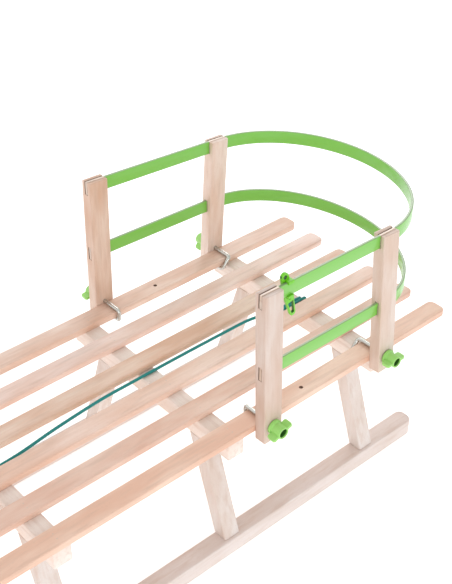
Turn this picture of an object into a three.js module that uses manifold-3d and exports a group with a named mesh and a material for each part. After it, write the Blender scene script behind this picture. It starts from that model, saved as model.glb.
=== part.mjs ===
// A beech sledge with a removable child's backrest.
// Millimetres, +Z up, -Y towards the upturned front, +X to the right when seen from the front.
// The origin lies on the ground under the middle of the sledge.
import * as THREE from "three";
import { mergeVertices } from "three/addons/utils/BufferGeometryUtils.js";
import Module from "manifold-3d";

const wasm = await Module();
wasm.setup();

// The whole sledge and its seat
const OVERALL_LENGTH = 1000;
const SLAT_COUNT = 6;
const SLAT_PITCH = 62.3;
const SLAT_WIDTH = 29.5;
const SLAT_THICKNESS = 10.5;
const SLAT_CORNER_RADIUS = 9;
const SLAT_HOLE_RADIUS = 3;
const SLAT_HOLE_Y = 154;
const SEAT_REAR_OVERHANG = 129.5;
const ARCH_COUNT = 3;
const ARCH_SPACING_SHARE = 0.268;
const FIT_GAP = 0.3;
const OVERRUN = 5;

// Crossbeams, legs and runners
const BEAM_DEPTH = 26;
const BEAM_HEIGHT = 28;
const BEAM_END_INSET = 2.5;
const FRONT_BAR_INSET = 8;
const LEG_RISE = 153.5;
const LEG_WIDTH = 23;
const LEG_SPLAY = 50.2;
const TENON_WIDTH = 11;
const TENON_DEPTH = 14;
const TENON_LENGTH = 14;
const RUNNER_WIDTH = 27.5;
const RUNNER_HEIGHT = 28;
const RUNNER_SIDE_INSET = 0.5;
const RUNNER_REAR_OVERHANG = 87;
const RUNNER_CORNER_RADIUS = 9;
const STRIP_WIDTH = 20;
const STRIP_THICKNESS = 2;
const STRIP_END_INSET = 6;
const STRIP_TIP_INSET = 20;
const SCREW_RADIUS = 1.8;
const SCREW_HEAD_RADIUS = 3.6;
const SCREW_HEAD_HEIGHT = 1.8;
const STRIP_SCREW_LENGTH = 16;
const BAR_SCREW_LENGTH = 55;
const STRIP_SCREW_COUNT = 3;

// Backrest, measured up from the seat and forwards from the back face of the rear arch.
// Both bands slope down to the rear, and the posts end flush with the upper one.
const POST_THICKNESS = 18;
const POST_DEPTH = 30;
const POST_RISE = 206.8;
const POST_DROP = 20.7;
const FRONT_POST_SETBACK = 16.5;
const REAR_POST_Y = 36.5;
const FRONT_POST_LEAN = 0.028;
const REAR_POST_LEAN = 0.065;
const BAND_HEIGHT = 20;
const BAND_THICKNESS = 4;
const UPPER_BAND_REACH = 126.7;
const LOWER_BAND_REACH = 113.4;
const UPPER_BAND_SLOPE = 0.048;
const LOWER_BAND_SLOPE = 0.0235;
const BAND_SPACING = 108.2;
const BAND_END_RECESS = 0.5;
const SLOT_SIDE_GAP = 1.2;

// Hook bolts, wing nuts and their pressed-in steel nuts
const ROD_RADIUS = 3;
const HOOK_LEG_GAP = 1.5;
const HOOK_BEND_RADIUS = 5;
const HOOK_TIP_LENGTH = 12;
const REAR_HOOK_SWING = 0.7;
const FLANGE_RADIUS = 10.5;
const FLANGE_THICKNESS = 4;
const HUB_RADIUS = 8.5;
const WING_NUT_LENGTH = 19;
const RECESS_RADIUS = 6.2;
const RECESS_DEPTH = 12;
const WING_REACH = 17;
const WING_THICKNESS = 4.5;
const WING_LENGTH = 13;
const WING_END_INSET = 1;
const WING_TIP_RADIUS = 2.5;
const STEEL_NUT_RADIUS = 5.7;
const STEEL_NUT_LENGTH = 5;
const BOLT_END_LENGTH = 7;
const FRONT_LEFT_WING_TURN = 0.17;
const FRONT_RIGHT_WING_TURN = 0.35;
const REAR_LEFT_WING_TURN = 1.05;
const REAR_RIGHT_WING_TURN = 0;

// Plastic clip on the right arm of the upper band
const CLIP_LENGTH = 72;
const CLIP_WIDTH = 14;
const CLIP_TOP_WIDTH = 11.5;
const CLIP_TIP_WIDTH = 9;
const CLIP_JAW_WIDTH = 9;
const CLIP_THICKNESS = 4;
const CLIP_WALL = 2.4;
const CLIP_LIP = 1.5;
const CLIP_EYE_RADIUS = 3;
const CLIP_HOLE_RADIUS = 2;
const CLIP_BRIDGE = 4.5;
const CLIP_SHOULDER_SHARE = 0.58;
const CLIP_TILT = 0.26;
const CLIP_SETBACK = 42;
const CLIP_RISE = 22;

// Tow cord: how far its taut run strays sideways, at shares of the way from its rear to its front knot.
// The loose tail of the rear knot lies back over the crossbeam, short of its far edge.
const CORD_DIAMETER = 5;
const CORD_STEP = 13;
const KNOT_RADIUS = 6.6;
const KNOT_LENGTH = 15;
const KNOT_SETBACK = 11.4;
const TAIL_OVERHANG = 3.5;
const CORD_SWAYS = [6.6, 5, -0.5, -5.3, -7.8, -8.4, -9, -9.1, -8.6, -7.6, -1, 8, 10, 9.6, 7, 4, 2.5];
const CORD_SWAY_SHARES = [
  0, 0.016, 0.039, 0.064, 0.089, 0.123, 0.193, 0.275, 0.346, 0.417,
  0.51, 0.597, 0.675, 0.764, 0.865, 0.954, 1,
];

// Roundness of the turned and bent pieces
const ROUND_SIDES = 16;
const ROD_SIDES = 8;
const CORD_SIDES = 8;
const SCREW_SIDES = 8;
const STEEL_NUT_SIDES = 6;
const BAND_STEPS = 28;
const RUNNER_STEPS = 14;
const HOOK_STEPS = 4;
const CORNER_STEPS = 3;
const LOOP_STEPS = 2;

// Heights and places worked out from the sizes above
const runnerBottom = STRIP_THICKNESS + FIT_GAP;
const runnerTop = runnerBottom + RUNNER_HEIGHT;
const beamBottom = runnerTop + LEG_RISE;
const beamTop = beamBottom + BEAM_HEIGHT;
const seatTop = beamTop + SLAT_THICKNESS;
const frontEnd = -OVERALL_LENGTH / 2;
const slatRear = OVERALL_LENGTH / 2;
const archBack = slatRear - SEAT_REAR_OVERHANG;
const seatHalf = (SLAT_COUNT - 1) * SLAT_PITCH / 2;
const seatEdge = seatHalf + SLAT_WIDTH / 2;
const beamHalf = seatEdge - BEAM_END_INSET;
const runnerInnerX = beamHalf - RUNNER_SIDE_INSET - RUNNER_WIDTH;
const legTopInnerX = runnerInnerX - LEG_SPLAY;
const barFront = frontEnd + FRONT_BAR_INSET;
const barMiddle = barFront + BEAM_DEPTH / 2;
const runnerMiddleX = runnerInnerX + RUNNER_WIDTH / 2;
const runnerRear = archBack + RUNNER_REAR_OVERHANG;
const bendRadius = LEG_RISE + RUNNER_HEIGHT / 2;
const bendY = barMiddle + bendRadius;
const archSpacing = OVERALL_LENGTH * ARCH_SPACING_SHARE;
const frontPostForwards = archSpacing - FRONT_POST_SETBACK;
const frontPostY = archBack - frontPostForwards;
const rearPostY = archBack - REAR_POST_Y;
const rodGap = FIT_GAP + ROD_RADIUS;
const rodZ = seatTop + rodGap;
const archBacks = Array.from({ length: ARCH_COUNT }, (unused, i) => archBack - i * archSpacing);
const upperBandZ = POST_RISE - BAND_HEIGHT / 2;
const lowerBandZ = upperBandZ - BAND_SPACING;
const hands = [["left", -1], ["right", 1]];

// One material for each stock that the sledge is made of
function paint(color, roughness, metalness) {
  return new THREE.MeshStandardMaterial({ color, roughness, metalness });
}
const beech = paint(0xe6c9ad, 0.62, 0);
const greenWood = paint(0x7ccb5a, 0.4, 0);
const greenPlastic = paint(0x93d45c, 0.4, 0);
const limePlastic = paint(0x97d83a, 0.35, 0);
const zincSteel = paint(0xb9bcb8, 0.35, 1);
const darkSteel = paint(0x7b7d80, 0.45, 1);
const tealCord = paint(0x1f8a7a, 0.85, 0);

// Turn a closed geometry into a solid that can be cut and joined, and back
function toSolid(geometry) {
  const bare = geometry.clone();
  bare.deleteAttribute("normal");
  bare.deleteAttribute("uv");
  const merged = mergeVertices(bare);
  return new wasm.Manifold(new wasm.Mesh({
    numProp: 3,
    vertProperties: new Float32Array(merged.attributes.position.array),
    triVerts: new Uint32Array(merged.index.array),
  }));
}

function toGeometry(solid) {
  const mesh = solid.getMesh();
  const points = new Float32Array(mesh.vertProperties);
  const geometry = new THREE.BufferGeometry();
  geometry.setAttribute("position", new THREE.BufferAttribute(points, mesh.numProp));
  geometry.setIndex(new THREE.BufferAttribute(new Uint32Array(mesh.triVerts), 1));
  geometry.computeVertexNormals();
  return geometry;
}

function cut(solid, tools) {
  return tools.reduce((rest, tool) => rest.subtract(tool), solid);
}

const sledge = new THREE.Group();

function add(name, solid, material) {
  const mesh = new THREE.Mesh(toGeometry(solid), material);
  mesh.name = name;
  sledge.add(mesh);
}

// Basic solids: a box, and plates drawn in the X-Y, X-Z and Y-Z planes
function boxSolid(low, high) {
  const box = new THREE.BoxGeometry(...high.map((value, i) => value - low[i]));
  box.translate(...high.map((value, i) => (value + low[i]) / 2));
  return toSolid(box);
}

function polygon(points) {
  return new THREE.Shape(points.map(([a, b]) => new THREE.Vector2(a, b)));
}

function plateXY(shape, lowZ, highZ) {
  const plate = new THREE.ExtrudeGeometry(shape, {
    depth: highZ - lowZ, bevelEnabled: false, curveSegments: CORNER_STEPS,
  });
  plate.translate(0, 0, lowZ);
  return toSolid(plate);
}

function plateXZ(shape, lowY, highY) {
  const plate = new THREE.ExtrudeGeometry(shape, {
    depth: highY - lowY, bevelEnabled: false, curveSegments: CORNER_STEPS,
  });
  plate.rotateX(Math.PI / 2);
  plate.translate(0, highY, 0);
  return toSolid(plate);
}

const standYZ = new THREE.Matrix4().makeBasis(
  new THREE.Vector3(0, 1, 0), new THREE.Vector3(0, 0, 1), new THREE.Vector3(1, 0, 0),
);

function plateYZ(shape, lowX, highX) {
  const plate = new THREE.ExtrudeGeometry(shape, {
    depth: highX - lowX, bevelEnabled: false, curveSegments: CORNER_STEPS,
  });
  plate.applyMatrix4(standYZ);
  plate.translate(lowX, 0, 0);
  return toSolid(plate);
}

function roundedRectangle(lowX, lowY, highX, highY, radius) {
  const shape = new THREE.Shape();
  shape.moveTo(lowX + radius, lowY);
  shape.lineTo(highX - radius, lowY);
  shape.absarc(highX - radius, lowY + radius, radius, -Math.PI / 2, 0);
  shape.lineTo(highX, highY - radius);
  shape.absarc(highX - radius, highY - radius, radius, 0, Math.PI / 2);
  shape.lineTo(lowX + radius, highY);
  shape.absarc(lowX + radius, highY - radius, radius, Math.PI / 2, Math.PI);
  shape.lineTo(lowX, lowY + radius);
  shape.absarc(lowX + radius, lowY + radius, radius, Math.PI, 3 * Math.PI / 2);
  return shape;
}

// A turned piece: radius and height along its axis, which stands along Z
function turned(profile, sides) {
  const lathe = new THREE.LatheGeometry(profile.map(([r, h]) => new THREE.Vector2(r, h)), sides);
  lathe.rotateX(Math.PI / 2);
  return lathe;
}

function pin(radius, low, high, sides) {
  return turned([[0, low], [radius, low], [radius, high], [0, high]], sides);
}

// A round bar bent through a list of points, with one ring at each point
class PointRoute extends THREE.Curve {
  constructor(points) {
    super();
    this.smooth = new THREE.CatmullRomCurve3(points, false, "centripetal");
  }

  getPoint(t, target) {
    return this.smooth.getPoint(t, target);
  }

  getPointAt(u, target) {
    return this.getPoint(u, target);
  }

  getTangentAt(u, target) {
    return this.getTangent(u, target);
  }
}

function roundBar(points, radius, sides) {
  const section = Array.from({ length: sides }, (unused, i) => {
    const angle = 2 * Math.PI * i / sides;
    return [radius * Math.cos(angle), radius * Math.sin(angle)];
  });
  return toSolid(new THREE.ExtrudeGeometry(polygon(section), {
    steps: points.length - 1, bevelEnabled: false, extrudePath: new PointRoute(points),
  }));
}

// Seat slats with rounded ends; the two outer ones have a spare hole
for (let i = 0; i < SLAT_COUNT; i += 1) {
  const middle = i * SLAT_PITCH - seatHalf;
  const low = middle - SLAT_WIDTH / 2;
  const outline = roundedRectangle(low, frontEnd, low + SLAT_WIDTH, slatRear, SLAT_CORNER_RADIUS);
  let slat = plateXY(outline, beamTop, seatTop);
  if (i === 0 || i === SLAT_COUNT - 1) {
    const hole = pin(SLAT_HOLE_RADIUS, beamTop - OVERRUN, seatTop + OVERRUN, ROD_SIDES);
    hole.translate(middle, archBack - SLAT_HOLE_Y, 0);
    slat = slat.subtract(toSolid(hole));
  }
  add(`seat_slat_${i + 1}`, slat, beech);
}

// Tenons at the top and the foot of a leg, and the wider sockets that take them
function tenon(side, middleX, back, lowZ, highZ, gap) {
  const middleY = back - BEAM_DEPTH / 2;
  return boxSolid(
    [side * middleX - TENON_WIDTH / 2 - gap, middleY - TENON_DEPTH / 2 - gap, lowZ],
    [side * middleX + TENON_WIDTH / 2 + gap, middleY + TENON_DEPTH / 2 + gap, highZ],
  );
}

function topTenon(side, back, gap) {
  const middleX = legTopInnerX + LEG_WIDTH / 2;
  return tenon(side, middleX, back, beamBottom - FIT_GAP, beamBottom + TENON_LENGTH + gap, gap);
}

function footTenon(side, back, gap) {
  const middleX = runnerInnerX + LEG_WIDTH / 2;
  return tenon(side, middleX, back, runnerTop - TENON_LENGTH - gap, runnerTop + FIT_GAP, gap);
}

// Arches: a crossbeam on two legs that lean outwards down to the runners
function crossbeam(back) {
  return boxSolid([-beamHalf, back - BEAM_DEPTH, beamBottom], [beamHalf, back, beamTop]);
}

function legSolid(side, back) {
  const outline = polygon([
    [side * runnerInnerX, runnerTop],
    [side * (runnerInnerX + LEG_WIDTH), runnerTop],
    [side * (legTopInnerX + LEG_WIDTH), beamBottom],
    [side * legTopInnerX, beamBottom],
  ]);
  const bar = plateXZ(outline, back - BEAM_DEPTH, back);
  return bar.add(topTenon(side, back, 0)).add(footTenon(side, back, 0));
}

archBacks.forEach((back, i) => {
  const place = ["rear", "middle", "front"][i];
  const sockets = hands.map(([, side]) => topTenon(side, back, FIT_GAP));
  add(`${place}_crossbeam`, cut(crossbeam(back), sockets), beech);
  hands.forEach(([hand, side]) => add(`${place}_leg_${hand}`, legSolid(side, back), beech));
});

// Runners: a straight bar that bends up through a quarter circle to the front bar
function bendArc(radius, from, to) {
  return Array.from({ length: RUNNER_STEPS + 1 }, (unused, i) => {
    const angle = from + (to - from) * i / RUNNER_STEPS;
    return [bendY + radius * Math.cos(angle), beamBottom + radius * Math.sin(angle)];
  });
}

const DOWN = 3 * Math.PI / 2;
const AHEAD = Math.PI;
const runnerOuterRadius = bendRadius + RUNNER_HEIGHT / 2;
const runnerInnerRadius = bendRadius - RUNNER_HEIGHT / 2;
const stripRadius = runnerOuterRadius + FIT_GAP;
const stripTip = AHEAD + STRIP_TIP_INSET / stripRadius;

// A countersunk screw along Z with its head at the lower end, or the wider hole for it
function screwSolid(length, gap) {
  const shank = SCREW_RADIUS + gap;
  const head = SCREW_HEAD_RADIUS + gap;
  const profile = [[head, 0], [shank, SCREW_HEAD_HEIGHT + gap], [shank, length + gap], [0, length + gap]];
  const start = gap > 0 ? [[0, -OVERRUN], [head, -OVERRUN]] : [[0, 0]];
  return turned([...start, ...profile], SCREW_SIDES);
}

function stripScrews(side, gap) {
  const last = runnerRear - STRIP_WIDTH * 2;
  const step = (last - bendY - STRIP_WIDTH) / (STRIP_SCREW_COUNT - 1);
  return Array.from({ length: STRIP_SCREW_COUNT }, (unused, i) => {
    const screw = screwSolid(STRIP_SCREW_LENGTH, gap);
    screw.translate(side * runnerMiddleX, last - i * step, FIT_GAP);
    return toSolid(screw);
  });
}

function barScrew(side, gap) {
  const screw = screwSolid(BAR_SCREW_LENGTH, gap);
  screw.rotateX(Math.PI);
  screw.translate(side * runnerMiddleX, barMiddle, beamTop - FIT_GAP);
  return toSolid(screw);
}

function runnerSolid(side) {
  const low = side * runnerMiddleX - RUNNER_WIDTH / 2;
  const high = low + RUNNER_WIDTH;
  const bar = plateYZ(polygon([
    [runnerRear, runnerBottom], [runnerRear, runnerTop],
    ...bendArc(runnerInnerRadius, DOWN, AHEAD), ...bendArc(runnerOuterRadius, AHEAD, DOWN),
  ]), low, high);
  const plan = roundedRectangle(low, 0, high, runnerRear, RUNNER_CORNER_RADIUS);
  const rear = plateXY(plan, -OVERRUN, runnerTop + OVERRUN);
  const front = boxSolid([low - OVERRUN, frontEnd - OVERRUN, -OVERRUN], [high + OVERRUN, archBack, seatTop]);
  return cut(bar.intersect(rear.add(front)), [
    ...archBacks.map((back) => footTenon(side, back, FIT_GAP)),
    ...stripScrews(side, FIT_GAP),
    barScrew(side, FIT_GAP),
  ]);
}

function stripSolid(side) {
  const rear = runnerRear - STRIP_END_INSET;
  const low = side * runnerMiddleX - STRIP_WIDTH / 2;
  const strip = plateYZ(polygon([
    [rear, 0], [rear, STRIP_THICKNESS],
    ...bendArc(stripRadius, DOWN, stripTip), ...bendArc(stripRadius + STRIP_THICKNESS, stripTip, DOWN),
  ]), low, low + STRIP_WIDTH);
  return cut(strip, stripScrews(side, FIT_GAP));
}

for (const [hand, side] of hands) {
  add(`runner_${hand}`, runnerSolid(side), beech);
  add(`runner_strip_${hand}`, stripSolid(side), zincSteel);
  stripScrews(side, 0).forEach((screw, i) => add(`strip_screw_${hand}_${i + 1}`, screw, darkSteel));
  add(`front_bar_screw_${hand}`, barScrew(side, 0), darkSteel);
}
const barScrewHoles = hands.map(([, side]) => barScrew(side, FIT_GAP));
add("front_bar", cut(crossbeam(barFront + BEAM_DEPTH), barScrewHoles), beech);

// Bent bands: straight between the posts, then half an ellipse behind the seat
const upperBand = { height: upperBandZ, reach: UPPER_BAND_REACH, slope: UPPER_BAND_SLOPE };
const lowerBand = { height: lowerBandZ, reach: LOWER_BAND_REACH, slope: LOWER_BAND_SLOPE };

function bandX(lean, height) {
  return seatEdge + FIT_GAP + POST_THICKNESS / 2 - lean * height;
}

function bandRise(band, y) {
  return band.height - band.slope * (y - frontPostY - POST_DEPTH / 2);
}

// Shear a solid drawn around height zero so that it follows a band's slope at that band's height
function sloped(solid, band) {
  const geometry = toGeometry(solid);
  geometry.applyMatrix4(new THREE.Matrix4().makeShear(0, 0, 0, -band.slope, 0, 0));
  geometry.translate(0, 0, seatTop + bandRise(band, 0));
  return toSolid(geometry);
}

function bandOutline(band, start, grow) {
  const frontX = bandX(FRONT_POST_LEAN, band.height);
  const rearX = bandX(REAR_POST_LEAN, bandRise(band, rearPostY));
  const bend = rearPostY + POST_DEPTH / 2;
  const depth = archBack + band.reach - bend;
  const edge = (offset) => {
    const points = [[frontX + offset, start]];
    for (let i = 0; i <= BAND_STEPS; i += 1) {
      const angle = Math.PI * i / BAND_STEPS;
      points.push([(rearX + offset) * Math.cos(angle), bend + (depth + offset) * Math.sin(angle)]);
    }
    points.push([-frontX - offset, start]);
    return points;
  };
  const half = BAND_THICKNESS / 2 + grow;
  return polygon([...edge(half), ...edge(-half).reverse()]);
}

function bandSolid(band) {
  const outline = bandOutline(band, frontPostY + BAND_END_RECESS, 0);
  return sloped(plateXY(outline, -BAND_HEIGHT / 2, BAND_HEIGHT / 2), band);
}

// The space that a band needs, with its own gaps beside it, under it and over it
function bandRoom(band, beside, under, over) {
  const outline = bandOutline(band, frontPostY - OVERRUN, beside);
  return sloped(plateXY(outline, -BAND_HEIGHT / 2 - under, BAND_HEIGHT / 2 + over), band);
}

// Posts stand beside the seat and lean in a little. The upper band lies in an open slot at their
// top, the lower band runs through a closed one, and the bolt has a hole.
function postSolid(side, faceY, lean) {
  const corner = (across, up) => [
    side * (seatEdge + FIT_GAP + across * Math.cos(lean) - up * Math.sin(lean)),
    seatTop + up * Math.cos(lean) + across * Math.sin(lean),
  ];
  const top = POST_RISE + OVERRUN;
  const outline = polygon([
    corner(0, -POST_DROP), corner(POST_THICKNESS, -POST_DROP), corner(POST_THICKNESS, top), corner(0, top),
  ]);
  const above = boxSolid(
    [-2 * seatEdge, frontEnd, BAND_HEIGHT / 2], [2 * seatEdge, archBack, BAND_HEIGHT / 2 + POST_RISE],
  );
  const hole = pin(rodGap, -OVERRUN, POST_THICKNESS + 2 * OVERRUN, ROUND_SIDES);
  hole.rotateY(side * Math.PI / 2);
  hole.translate(side * seatEdge, faceY + POST_DEPTH / 2, rodZ);
  return cut(plateXZ(outline, faceY, faceY + POST_DEPTH), [
    sloped(above, upperBand),
    bandRoom(upperBand, SLOT_SIDE_GAP, FIT_GAP, OVERRUN),
    bandRoom(lowerBand, SLOT_SIDE_GAP, FIT_GAP, FIT_GAP),
    toSolid(hole),
  ]);
}

// The wing nut's flange just clears the lowest part of the leaning post that it covers
function flangeX(lean) {
  const lowest = rodGap - FLANGE_RADIUS;
  return seatEdge + 2 * FIT_GAP + POST_THICKNESS / Math.cos(lean) - lowest * Math.tan(lean);
}

// A bolt runs out over the slat and through the post; inside it hooks squarely round the slat
function hookSolid(side, y, lean, swing) {
  const legX = seatEdge - SLAT_WIDTH - HOOK_LEG_GAP - ROD_RADIUS;
  const depth = (SLAT_THICKNESS + 2 * rodGap) / Math.cos(swing);
  const end = flangeX(lean) + WING_NUT_LENGTH - RECESS_DEPTH + BOLT_END_LENGTH;
  const at = (x, drop) => new THREE.Vector3(
    side * x, y - drop * Math.sin(swing), rodZ - drop * Math.cos(swing),
  );
  const points = [at(end, 0), at(seatEdge, 0)];
  const quarterBend = (middleDrop, start) => {
    for (let i = 0; i <= HOOK_STEPS; i += 1) {
      const angle = start - Math.PI / 2 * i / HOOK_STEPS;
      const across = HOOK_BEND_RADIUS * (1 + Math.cos(angle));
      points.push(at(legX + across, middleDrop + HOOK_BEND_RADIUS * Math.sin(angle)));
    }
  };
  quarterBend(HOOK_BEND_RADIUS, -Math.PI / 2);
  quarterBend(depth - HOOK_BEND_RADIUS, Math.PI);
  points.push(at(legX + HOOK_TIP_LENGTH, depth));
  return roundBar(points, ROD_RADIUS, ROD_SIDES);
}

// Wing nut along +Z from its flange: two flat wings and a hollow outer end
function wingNutSolid() {
  const floor = WING_NUT_LENGTH - RECESS_DEPTH;
  const body = toSolid(turned([
    [0, 0], [FLANGE_RADIUS, 0], [FLANGE_RADIUS, FLANGE_THICKNESS], [HUB_RADIUS, FLANGE_THICKNESS],
    [HUB_RADIUS, WING_NUT_LENGTH], [0, WING_NUT_LENGTH],
  ], ROUND_SIDES));
  const wingEnd = WING_NUT_LENGTH - WING_END_INSET;
  const outline = roundedRectangle(-WING_REACH, wingEnd - WING_LENGTH, WING_REACH, wingEnd, WING_TIP_RADIUS);
  const wings = plateYZ(outline, -WING_THICKNESS / 2, WING_THICKNESS / 2);
  const bore = turned([
    [0, -OVERRUN], [rodGap, -OVERRUN], [rodGap, floor], [RECESS_RADIUS, floor],
    [RECESS_RADIUS, WING_NUT_LENGTH + OVERRUN], [0, WING_NUT_LENGTH + OVERRUN],
  ], ROUND_SIDES);
  return body.add(wings).subtract(toSolid(bore));
}

function steelNutSolid() {
  const low = WING_NUT_LENGTH - RECESS_DEPTH + FIT_GAP;
  const high = low + STEEL_NUT_LENGTH;
  const bore = pin(rodGap, low - OVERRUN, high + OVERRUN, ROUND_SIDES);
  return toSolid(pin(STEEL_NUT_RADIUS, low, high, STEEL_NUT_SIDES)).subtract(toSolid(bore));
}

function facingOut(solid, side, y, lean, turn) {
  const geometry = toGeometry(solid);
  geometry.rotateZ(side * turn);
  geometry.rotateY(side * Math.PI / 2);
  geometry.translate(side * flangeX(lean), y, rodZ);
  return toSolid(geometry);
}

for (const [place, side, faceY, lean, swing, turn] of [
  ["front_left", -1, frontPostY, FRONT_POST_LEAN, 0, FRONT_LEFT_WING_TURN],
  ["front_right", 1, frontPostY, FRONT_POST_LEAN, 0, FRONT_RIGHT_WING_TURN],
  ["rear_left", -1, rearPostY, REAR_POST_LEAN, REAR_HOOK_SWING, REAR_LEFT_WING_TURN],
  ["rear_right", 1, rearPostY, REAR_POST_LEAN, REAR_HOOK_SWING, REAR_RIGHT_WING_TURN],
]) {
  const y = faceY + POST_DEPTH / 2;
  add(`backrest_post_${place}`, postSolid(side, faceY, lean), beech);
  add(`hook_bolt_${place}`, hookSolid(side, y, lean, swing), zincSteel);
  add(`wing_nut_${place}`, facingOut(wingNutSolid(), side, y, lean, turn), greenPlastic);
  add(`steel_nut_${place}`, facingOut(steelNutSolid(), side, y, lean, turn), darkSteel);
}
add("backrest_band_upper", bandSolid(upperBand), greenWood);
add("backrest_band_lower", bandSolid(lowerBand), greenWood);

// Clip: an eye over the band, a jaw with two lips round it, and a tapering loop below
function roundHole(y, z, radius) {
  const hole = new THREE.Path();
  hole.absarc(y, z, radius, 0, 2 * Math.PI, true);
  return hole;
}

function clipOutline() {
  const half = CLIP_WIDTH / 2;
  const top = CLIP_TOP_WIDTH / 2;
  const tip = CLIP_TIP_WIDTH / 2;
  const jawBottom = CLIP_RISE / Math.cos(CLIP_TILT) + BAND_HEIGHT / 2 + FIT_GAP + CLIP_WALL;
  const holeY = -jawBottom - CLIP_BRIDGE - CLIP_HOLE_RADIUS;
  const slotTop = holeY - CLIP_HOLE_RADIUS - CLIP_BRIDGE;
  const slotBottom = tip - CLIP_LENGTH;
  const outline = new THREE.Shape();
  outline.moveTo(-top, -top);
  outline.lineTo(-half, -jawBottom);
  outline.lineTo(-half, -CLIP_LENGTH * CLIP_SHOULDER_SHARE);
  outline.lineTo(-tip, slotBottom);
  outline.absarc(0, slotBottom, tip, Math.PI, 2 * Math.PI);
  outline.lineTo(half, -CLIP_LENGTH * CLIP_SHOULDER_SHARE);
  outline.lineTo(half, -jawBottom);
  outline.lineTo(top, -top);
  outline.absarc(0, -top, top, 0, Math.PI);
  const slot = new THREE.Path([
    [CLIP_WALL - half, slotTop], [half - CLIP_WALL, slotTop],
    [tip - CLIP_WALL, slotBottom], [CLIP_WALL - tip, slotBottom],
  ].map(([y, z]) => new THREE.Vector2(y, z)));
  slot.closePath();
  outline.holes.push(slot, roundHole(0, -top, CLIP_EYE_RADIUS));
  outline.holes.push(roundHole(0, holeY, CLIP_HOLE_RADIUS));
  return outline;
}

function clipSolid() {
  const rearX = bandX(REAR_POST_LEAN, bandRise(upperBand, rearPostY));
  const bend = REAR_POST_Y - POST_DEPTH / 2;
  const run = frontPostForwards - BAND_END_RECESS - bend;
  const forwards = frontPostForwards - CLIP_SETBACK;
  const middleX = rearX + (bandX(FRONT_POST_LEAN, upperBandZ) - rearX) * (forwards - bend) / run;
  const inner = middleX - BAND_THICKNESS / 2 - FIT_GAP;
  const outer = middleX + BAND_THICKNESS / 2 + FIT_GAP;
  const plate = new THREE.ExtrudeGeometry(clipOutline(), {
    depth: CLIP_THICKNESS, bevelEnabled: false, curveSegments: CORNER_STEPS * 2,
  });
  plate.applyMatrix4(standYZ);
  plate.rotateX(CLIP_TILT);
  const y = archBack - forwards + CLIP_RISE * Math.tan(CLIP_TILT);
  const z = seatTop + bandRise(upperBand, y);
  plate.translate(inner - CLIP_THICKNESS, archBack - forwards, z + CLIP_RISE);
  const jawHalf = BAND_HEIGHT / 2 + FIT_GAP + CLIP_WALL;
  const mouthHalf = BAND_HEIGHT / 2 - CLIP_LIP;
  const jaw = boxSolid(
    [inner - CLIP_THICKNESS, y - CLIP_JAW_WIDTH / 2, z - jawHalf],
    [outer + CLIP_WALL, y + CLIP_JAW_WIDTH / 2, z + jawHalf],
  );
  const mouth = boxSolid(
    [middleX, y - CLIP_WIDTH, z - mouthHalf], [outer + CLIP_WIDTH, y + CLIP_WIDTH, z + mouthHalf],
  );
  const room = bandRoom(upperBand, FIT_GAP, FIT_GAP, FIT_GAP);
  return cut(toSolid(plate).add(jaw), [room, mouth]);
}
add("band_clip", clipSolid(), limePlastic);

// Tow cord: looped and knotted round the front bar and the rear crossbeam, taut in between
const cordRadius = CORD_DIAMETER / 2;
const cordGap = FIT_GAP + cordRadius;
const cordZ = beamTop + cordGap;

// The loop from the knot over a crossbar, round its far side and back up to the knot
function loopPoints(x, knotY, nearY, farY) {
  const away = Math.sign(farY - nearY);
  const near = nearY - away * cordGap;
  const points = [[nearY, cordZ]];
  const corner = (y, z, from) => {
    for (let i = 0; i <= LOOP_STEPS; i += 1) {
      const angle = from - Math.PI / 2 * i / LOOP_STEPS;
      points.push([
        y + away * cordGap * Math.cos(angle), z + cordGap * Math.sin(angle),
      ]);
    }
  };
  corner(farY, beamTop, Math.PI / 2);
  corner(farY, beamBottom, 0);
  corner(nearY, beamBottom, -Math.PI / 2);
  points.push([near, beamTop - CORD_DIAMETER * 2]);
  points.push([(near + knotY) / 2, cordZ - CORD_DIAMETER * 2]);
  points.push([knotY, cordZ - CORD_DIAMETER - FIT_GAP]);
  return points.map(([y, z]) => new THREE.Vector3(x, y, z));
}

function knotSolid(x, y) {
  const knot = turned([
    [0, -KNOT_LENGTH / 2], [KNOT_RADIUS / 2, -KNOT_LENGTH / 2], [KNOT_RADIUS, -KNOT_LENGTH / 5],
    [KNOT_RADIUS, KNOT_LENGTH / 5], [KNOT_RADIUS / 2, KNOT_LENGTH / 2], [0, KNOT_LENGTH / 2],
  ], CORD_SIDES);
  knot.rotateX(Math.PI / 2);
  knot.translate(x, y, cordZ - cordRadius);
  return toSolid(knot);
}

// The tail leaves the knot and lies on the crossbar beside the loop
function tailSolid(knotX, knotY, endY) {
  const x = knotX - CORD_DIAMETER - FIT_GAP;
  const points = [[knotX, knotY], [x, knotY + KNOT_LENGTH / 2], [x, (knotY + endY) / 2], [x, endY]];
  return roundBar(points.map(([px, py]) => new THREE.Vector3(px, py, cordZ)), cordRadius, CORD_SIDES);
}

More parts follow.
